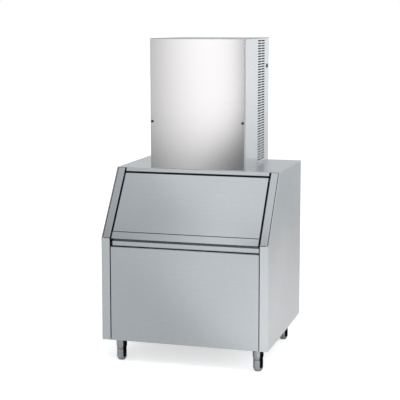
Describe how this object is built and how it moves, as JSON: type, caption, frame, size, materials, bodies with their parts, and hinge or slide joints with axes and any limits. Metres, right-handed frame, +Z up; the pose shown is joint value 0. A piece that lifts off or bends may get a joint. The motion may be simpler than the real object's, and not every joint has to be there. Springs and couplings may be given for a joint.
{
  "type": "ice cube machine",
  "caption": "Stainless modular ice maker with louvred sides on an insulated storage bin with a slanted, top-hinged door and four adjustable feet.",
  "frame": {"origin": "on the floor under the middle of the storage bin", "axes": "+X to the right seen from the front, -Y towards the person who opens the door, +Z up"},
  "size_m": [0.87, 0.79, 1.655],
  "materials": {
    "stainless": "brushed",
    "plain_sheet": "satin",
    "polished": "polished",
    "liner": "satin",
    "foam": "matt",
    "rubber": "matt",
    "black_plastic": "satin",
    "white_plastic": "satin",
    "clear_plastic": "gloss",
    "tinned_copper": "satin",
    "copper": "satin",
    "fins": "satin",
    "black_paint": "satin",
    "grey_plastic": "matt"
  },
  "bodies": {
    "cabinet": {"bin_side_right": "stainless", "bin_side_left": "stainless", "slant_trim_right": "stainless", "slant_trim_left": "stainless", "bin_front_panel": "stainless", "bin_back_panel": "plain_sheet", "bin_top_deck": "stainless", "bin_base_pan": "plain_sheet", "door_frame": "white_plastic", "bin_liner": "liner", "bin_foam": "foam", "bin_drain": "white_plastic", "door_hinge_pins": "polished", "foot_sleeves": "polished", "head_base": "plain_sheet", "head_front_panel": "stainless", "head_side_right": "stainless", "head_side_left": "stainless", "head_top_panel": "stainless", "head_back_panel": "plain_sheet", "head_partition": "plain_sheet", "front_screws": "black_plastic", "panel_screws": "polished", "switch_bezel": "black_plastic", "evaporator": "tinned_copper", "evaporator_coil": "copper", "curtain_brackets": "plain_sheet", "curtain_rod": "polished", "water_distributor": "grey_plastic", "water_sump": "liner", "ice_chute": "grey_plastic", "water_pump": "black_plastic", "pump_hose": "rubber", "inlet_valve": "white_plastic", "fill_tube": "white_plastic", "condenser": "fins", "fan_duct": "plain_sheet", "fan_motor": "black_paint", "motor_bracket": "plain_sheet", "compressor": "black_paint", "compressor_grommets": "rubber", "filter_drier": "copper", "suction_pipe": "copper", "discharge_pipe": "copper", "liquid_pipes": "copper", "control_box": "grey_plastic", "cable_gland": "black_plastic"},
    "door": {"door_handle": "stainless", "door_skin": "stainless", "door_inner_panel": "white_plastic", "door_foam": "foam", "door_gasket": "rubber", "door_bushes": "black_plastic"},
    "rocker": {"switch_rocker": "black_plastic"},
    "fan": {"fan": "black_plastic"},
    "curtain": {"ice_curtain": "clear_plastic"},
    "foot_front_left": {"foot_front_left": "polished"},
    "foot_front_right": {"foot_front_right": "polished"},
    "foot_rear_left": {"foot_rear_left": "polished"},
    "foot_rear_right": {"foot_rear_right": "polished"}
  },
  "joints": [
    {"name": "door_hinge", "type": "hinge", "parent": "cabinet", "child": "door", "pos_m": [0, -0.16759, 0.94084], "axis": [-1, 0, 0], "range_deg": [0, 95]},
    {"name": "switch_rock", "type": "hinge", "parent": "cabinet", "child": "rocker", "pos_m": [0.2475, 0.351, 1.503], "axis": [0, 0, -1], "range_deg": [0, 20]},
    {"name": "fan_spin", "type": "hinge", "parent": "cabinet", "child": "fan", "pos_m": [0.1698, 0.215, 1.1515], "axis": [1, 0, 0], "continuous": true},
    {"name": "curtain_swing", "type": "hinge", "parent": "cabinet", "child": "curtain", "pos_m": [0, 0.015, 1.5675], "axis": [-1, 0, 0], "range_deg": [0, 20]},
    {"name": "foot_front_left_screw", "type": "slide", "parent": "cabinet", "child": "foot_front_left", "axis": [0, 0, -1], "range_m": [0, 0.02]},
    {"name": "foot_front_right_screw", "type": "slide", "parent": "cabinet", "child": "foot_front_right", "axis": [0, 0, -1], "range_m": [0, 0.02]},
    {"name": "foot_rear_left_screw", "type": "slide", "parent": "cabinet", "child": "foot_rear_left", "axis": [0, 0, -1], "range_m": [0, 0.02]},
    {"name": "foot_rear_right_screw", "type": "slide", "parent": "cabinet", "child": "foot_rear_right", "axis": [0, 0, -1], "range_m": [0, 0.02]}
  ]
}
